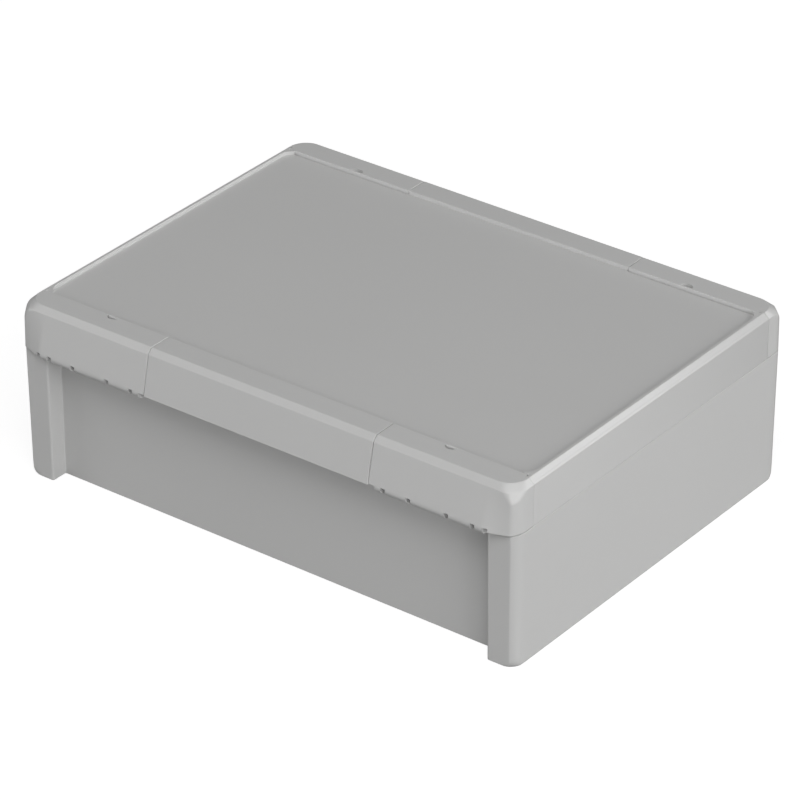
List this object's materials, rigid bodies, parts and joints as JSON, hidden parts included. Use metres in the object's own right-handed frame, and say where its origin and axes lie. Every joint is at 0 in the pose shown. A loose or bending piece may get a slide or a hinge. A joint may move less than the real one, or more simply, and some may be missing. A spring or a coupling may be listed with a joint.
{
  "type": "hinged wall-mounting enclosure",
  "caption": "Wall-mounting project box with a hinged lid, a recessed panel on the lid, corner closures and set-back long walls between corner posts.",
  "frame": {"origin": "middle of the footprint, on the back face that rests on the wall or bench", "axes": "+X along the long side to the right, -Y to the front, +Z from the back face to the lid"},
  "size_m": [0.27, 0.2084, 0.088],
  "materials": {
    "case_plastic": "fine satin, light grey",
    "closure_plastic": "fine satin, light grey",
    "seal_foam": "dull foam",
    "pin_steel": "drawn",
    "insert_brass": "turned"
  },
  "bodies": {
    "case": {"base": "case_plastic", "hinge_pins": "pin_steel", "board_inserts": "insert_brass"},
    "lid": {"lid": "case_plastic", "seal": "seal_foam", "closure_rear_left": "closure_plastic", "closure_rear_right": "closure_plastic"},
    "closure_front_left": {"closure_front_left": "closure_plastic"},
    "closure_front_right": {"closure_front_right": "closure_plastic"}
  },
  "joints": [
    {"name": "lid_hinge", "type": "hinge", "parent": "case", "child": "lid", "pos_m": [0, 0.1011, 0.067], "axis": [-1, 0, 0], "range_deg": [0, 100]},
    {"name": "front_left_pivot", "type": "hinge", "parent": "case", "child": "closure_front_left", "pos_m": [-0.0983, -0.1011, 0.067], "axis": [1, 0, 0], "range_deg": [0, 90]},
    {"name": "front_right_pivot", "type": "hinge", "parent": "case", "child": "closure_front_right", "pos_m": [0.0983, -0.1011, 0.067], "axis": [1, 0, 0], "range_deg": [0, 90]}
  ]
}
